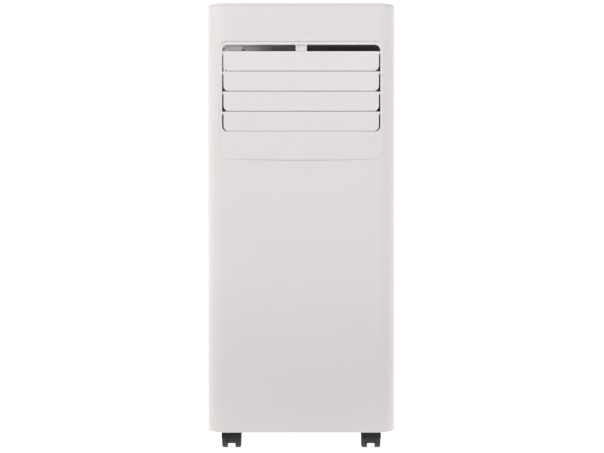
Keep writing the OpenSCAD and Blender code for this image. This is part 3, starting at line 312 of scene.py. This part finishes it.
class Prisms:
    """Closed prisms gathered into one mesh. Outlines are (x, y) lists that run anticlockwise."""

    def __init__(self):
        self.verts = []
        self.faces = []

    def prism(self, outline, z0, z1):
        first = len(self.verts)
        count = len(outline)
        self.verts += [(x, y, z0) for x, y in outline] + [(x, y, z1) for x, y in outline]
        self.faces.append([first + i for i in reversed(range(count))])
        self.faces.append([first + count + i for i in range(count)])
        for i in range(count):
            j = (i + 1) % count
            self.faces.append([first + i, first + j, first + count + j, first + count + i])

    def box(self, low, high):
        outline = [(low[0], low[1]), (high[0], low[1]), (high[0], high[1]), (low[0], high[1])]
        self.prism(outline, low[2], high[2])

    def band(self, centre, radius, width, start, end, z0, z1, steps=24):
        """Arc of a given width, from one angle to another in degrees."""
        angles = [math.radians(start + (end - start) * i / steps) for i in range(steps + 1)]
        outer = [polar(centre, radius + width / 2, a) for a in angles]
        inner = [polar(centre, radius - width / 2, a) for a in reversed(angles)]
        self.prism(outer + inner, z0, z1)

    def bar(self, start, end, width, z0, z1):
        """Straight bar with pointed ends."""
        dx, dy = end[0] - start[0], end[1] - start[1]
        length = math.hypot(dx, dy)
        ux, uy = dx / length * width / 2, dy / length * width / 2
        outline = [
            (start[0] - ux, start[1] - uy), (start[0] + uy, start[1] - ux), (end[0] + uy, end[1] - ux),
            (end[0] + ux, end[1] + uy), (end[0] - uy, end[1] + ux), (start[0] - uy, start[1] + ux),
        ]
        self.prism(outline, z0, z1)

    def piece(self, name, material, slot, node):
        """The mesh as an object that moves with the body of a CAD node."""
        mesh = bpy.data.meshes.new(name)
        mesh.from_pydata(self.verts, [], self.faces)
        mesh.materials.append(MATERIALS[material])
        obj = bpy.data.objects.new(name, mesh)
        scene.collection.objects.link(obj)
        bodies = body_of(NODES[node])
        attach(obj, bodies if isinstance(bodies, str) else bodies[0])
        return obj


# Fins of the two coils, between their end plates
COIL_HALF = 114 * MM
PLATE = 1.6 * MM
FIN_PITCH = 2.2 * MM
FIN_THICK = 0.25 * MM
FIN_BACK = 0.2 * MM
FIN_TOP = 3 * MM
FIN_ENDS = {"condenser": 174 * MM, "evaporator": 172 * MM}


def coil_fins(node, depth):
    """Thin fins of a coil, from FIN_TOP down to depth below its top."""
    low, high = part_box(node)
    count = int(2 * (COIL_HALF - PLATE) / FIN_PITCH) - 1
    fins = Prisms()
    for i in range(count):
        x = (i - (count - 1) / 2) * FIN_PITCH
        fins.box((x - FIN_THICK / 2, low.y + FIN_BACK, high.z - depth),
                 (x + FIN_THICK / 2, high.y - FIN_BACK, high.z - FIN_TOP))
    return fins.piece(node + "_fins", "coil_aluminium", "coil_aluminium", node)


for coil, fin_depth in FIN_ENDS.items():
    coil_fins(coil, fin_depth)

# Threads of the filter's net
NET_PITCH = 3.2 * MM
NET_EDGE = 4 * MM
NET_NEAR = 2.75 * MM
NET_FAR = 3.0 * MM
THREAD = 0.45 * MM


def filter_net():
    """Upright and level threads over the filter's grid."""
    low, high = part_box("air_filter")
    y0, y1 = low.y + NET_NEAR, low.y + NET_FAR
    across = int((high.x - low.x - 2 * NET_EDGE) / NET_PITCH)
    up = int((high.z - low.z - 2 * NET_EDGE) / NET_PITCH)
    net = Prisms()
    for i in range(across):
        x = (low.x + high.x) / 2 + (i - (across - 1) / 2) * NET_PITCH
        net.box((x - THREAD / 2, y0, low.z + NET_EDGE), (x + THREAD / 2, y1, high.z - NET_EDGE))
    for i in range(up):
        z = (low.z + high.z) / 2 + (i - (up - 1) / 2) * NET_PITCH
        net.box((low.x + NET_EDGE, y0, z - THREAD / 2), (high.x - NET_EDGE, y1, z + THREAD / 2))
    net.piece("filter_net", "filter_grey", "filter_grey", "air_filter")


filter_net()

# Plain printed signs on the buttons
PRINT = 0.08 * MM
PRINT_ROOT = 0.1 * MM
LINE = 0.7 * MM


def sign(node):
    """Empty sign, the middle of a button's top and the heights between which the sign lies."""
    low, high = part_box(node)
    return Prisms(), (low.x + high.x) / 2, (low.y + high.y) / 2, high.z - PRINT_ROOT, high.z + PRINT


def print_sign(mark, node):
    mark.piece("sign" + node[len("button"):], "print_grey", "display_black", node)


def power_sign():
    """Open ring with an upright bar."""
    mark, x, y, z0, z1 = sign("button_power")
    mark.band((x, y), 3 * MM, LINE, 125, 415, z0, z1)
    mark.bar((x, y + 0.6 * MM), (x, y + 3.6 * MM), LINE, z0, z1)
    print_sign(mark, "button_power")


def mode_sign():
    """Star of six rays."""
    mark, x, y, z0, z1 = sign("button_mode")
    for i in range(6):
        a = math.radians(60 * i + 30)
        mark.bar(polar((x, y), 0.9 * MM, a), polar((x, y), 3.4 * MM, a), LINE, z0, z1)
    print_sign(mark, "button_mode")


def arrow_sign(node, way):
    """Chevron that points back for way 1 and forward for way -1."""
    mark, x, y, z0, z1 = sign(node)
    tip = (x, y + way * 1.6 * MM)
    mark.bar((x - 2.8 * MM, y - way * 1.2 * MM), tip, LINE, z0, z1)
    mark.bar(tip, (x + 2.8 * MM, y - way * 1.2 * MM), LINE, z0, z1)
    print_sign(mark, node)


def fan_sign():
    """Three curled blades."""
    mark, x, y, z0, z1 = sign("button_fan")
    for a in (0, 120, 240):
        mark.band(polar((x, y), 1.7 * MM, math.radians(a)), 1.5 * MM, LINE, a, a + 200, z0, z1)
    print_sign(mark, "button_fan")


def timer_sign():
    """Clock face with two hands."""
    mark, x, y, z0, z1 = sign("button_timer")
    mark.band((x, y), 3.2 * MM, LINE, 0, 180, z0, z1)
    mark.band((x, y), 3.2 * MM, LINE, 180, 360, z0, z1)
    mark.bar((x, y), (x, y + 2 * MM), LINE, z0, z1)
    mark.bar((x, y), (x + 1.4 * MM, y), LINE, z0, z1)
    print_sign(mark, "button_timer")


power_sign()
mode_sign()
arrow_sign("button_temp_down", -1)
arrow_sign("button_temp_up", 1)
fan_sign()
timer_sign()

# Two unlit seven-segment figures on the lens
FIGURE_W = 7 * MM
FIGURE_H = 12 * MM
FIGURE_X = 5.5 * MM
FIGURE_ROOT = 0.2 * MM
FIGURE_PROUD = 0.05 * MM
SEGMENT = 1.1 * MM
GAP = 0.35 * MM


def display_figures():
    low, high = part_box("display_lens")
    y = (low.y + high.y) / 2
    z0, z1 = high.z - FIGURE_ROOT, high.z + FIGURE_PROUD
    inset = SEGMENT / 2 + GAP
    figures = Prisms()
    for side in (-1, 1):
        x = (low.x + high.x) / 2 + side * FIGURE_X
        x0, x1 = x - FIGURE_W / 2, x + FIGURE_W / 2
        for level in (y - FIGURE_H / 2, y, y + FIGURE_H / 2):
            figures.bar((x0 + inset, level), (x1 - inset, level), SEGMENT, z0, z1)
        for edge_x in (x0, x1):
            for low_y in (y - FIGURE_H / 2, y):
                figures.bar((edge_x, low_y + inset), (edge_x, low_y + FIGURE_H / 2 - inset), SEGMENT, z0, z1)
    figures.piece("display_figures", "figure_grey", "display_black", "display_lens")


display_figures()


# ---- Floor, light and camera ----

FLOOR_HALF = 14.0
BACK_Y = 5.0
BEND_R = 2.0
BEND_STEPS = 16
# The floor glows and so lights the object; the glow is weaker in front of it, between GLOW_START and
# GLOW_END
GLOW = 0.82
GLOW_FRONT = 0.23
GLOW_START = -0.30
GLOW_END = -0.19


def cyclorama():
    """Pale floor that curves up into a backdrop."""
    profile = [(-FLOOR_HALF, 0.0), (BACK_Y - BEND_R, 0.0)]
    for i in range(1, BEND_STEPS + 1):
        a = math.pi / 2 * i / BEND_STEPS
        profile.append((BACK_Y - BEND_R + BEND_R * math.sin(a), BEND_R * (1 - math.cos(a))))
    profile.append((BACK_Y, 2 * FLOOR_HALF))
    verts = [(x, y, z) for y, z in profile for x in (-FLOOR_HALF, FLOOR_HALF)]
    faces = [(2 * i, 2 * i + 1, 2 * i + 3, 2 * i + 2) for i in range(len(profile) - 1)]
    mesh = bpy.data.meshes.new("floor")
    mesh.from_pydata(verts, [], faces)
    mesh.polygons.foreach_set("use_smooth", [True] * len(faces))
    floor = bpy.data.objects.new("floor", mesh)
    scene.collection.objects.link(floor)
    material = surface("floor_white", (0.93, 0.93, 0.93), rough=0.8, blotch=1.5, spread=0.004, grain=60,
                       bump=0.05, specular=0.1)
    tree = material.node_tree
    shader = tree.nodes["Principled BSDF"]
    shader.inputs["Emission Color"].default_value = (1, 1, 1, 1)
    split = tree.nodes.new("ShaderNodeSeparateXYZ")
    tree.links.new(tree.nodes.new("ShaderNodeTexCoord").outputs["Object"], split.inputs["Vector"])
    glow = tree.nodes.new("ShaderNodeMapRange")
    glow.inputs["From Min"].default_value = GLOW_START
    glow.inputs["From Max"].default_value = GLOW_END
    glow.inputs["To Min"].default_value = GLOW_FRONT * GLOW
    glow.inputs["To Max"].default_value = GLOW
    tree.links.new(split.outputs["Y"], glow.inputs["Value"])
    tree.links.new(glow.outputs["Result"], shader.inputs["Emission Strength"])
    mesh.materials.append(material)
    return floor


cyclorama()

TOP = cad_high.z
FRONT = cad_low.y
WORLD_LIGHT = 0.2

# Name, place, the point it shines at, size and power of each studio light in front and above
LIGHTS = [
    ("key", (-0.85, FRONT - 0.55, 1.3), (0, 0, 0.7 * TOP), 0.8, 8.0),
    ("fill", (0.68, FRONT - 0.72, 1.3), (0, 0, 0.7 * TOP), 0.8, 6.2),
    ("overhead", (0, 0.2, 2.6), (0, 0, 0), 2.2, 1.0),
]
BACK_LIGHT = ("back", (0.6, 2.2, 1.6), (0, 0, 0.5 * TOP), 1.6, 0.6)

# Small lights between the vanes: X and power of each
SLOT_LIGHTS = [
    (-0.107, 0.010), (-0.069, 0.0075), (-0.023, 0.0035),
    (0.023, 0.0013), (0.069, 0.001), (0.107, 0.001),
]
SLOT_Y = FRONT + 55 * MM
SLOT_Z = 0.60
SLOT_LIGHT_SIZE = (30 * MM, 20 * MM)

world = bpy.data.worlds.new("studio")
scene.world = world
world.use_nodes = True
world.node_tree.nodes["Background"].inputs["Color"].default_value = (1, 1, 1, 1)
world.node_tree.nodes["Background"].inputs["Strength"].default_value = WORLD_LIGHT


def area_light(name, place, aim, size, power):
    data = bpy.data.lights.new(name, "AREA")
    data.shape = "RECTANGLE"
    data.size, data.size_y = size
    data.energy = power
    light = bpy.data.objects.new(name, data)
    light.location = place
    light.rotation_euler = (Vector(aim) - Vector(place)).to_track_quat("-Z", "Y").to_euler()
    scene.collection.objects.link(light)
    return light


for name, place, aim, side, power in LIGHTS:
    area_light(name, place, aim, (side, side), power)
for number, (slot_x, power) in enumerate(SLOT_LIGHTS):
    slot_light = area_light("slot_glow_%d" % number, (slot_x, SLOT_Y, SLOT_Z), (slot_x, SLOT_Y, TOP),
                            SLOT_LIGHT_SIZE, power)
    slot_light.visible_camera = False
name, place, aim, side, power = BACK_LIGHT
area_light(name, place, aim, (side, side), power)

CAMERA_BACK = 1.8
CAMERA_X = 0.0012
CAMERA_Z = 0.400
CAMERA_TILT = math.radians(0.44)
CAMERA_LENS = 69.76
CAMERA_SHIFT = -0.033
camera_data = bpy.data.cameras.new("camera")
camera_data.sensor_width = 36
camera_data.lens = CAMERA_LENS
camera_data.shift_y = CAMERA_SHIFT
camera_data.clip_start = 0.05
camera = bpy.data.objects.new("camera", camera_data)
camera.location = (CAMERA_X, FRONT - CAMERA_BACK, CAMERA_Z)
camera.rotation_euler = (math.pi / 2 - CAMERA_TILT, 0, 0)
scene.collection.objects.link(camera)
scene.camera = camera
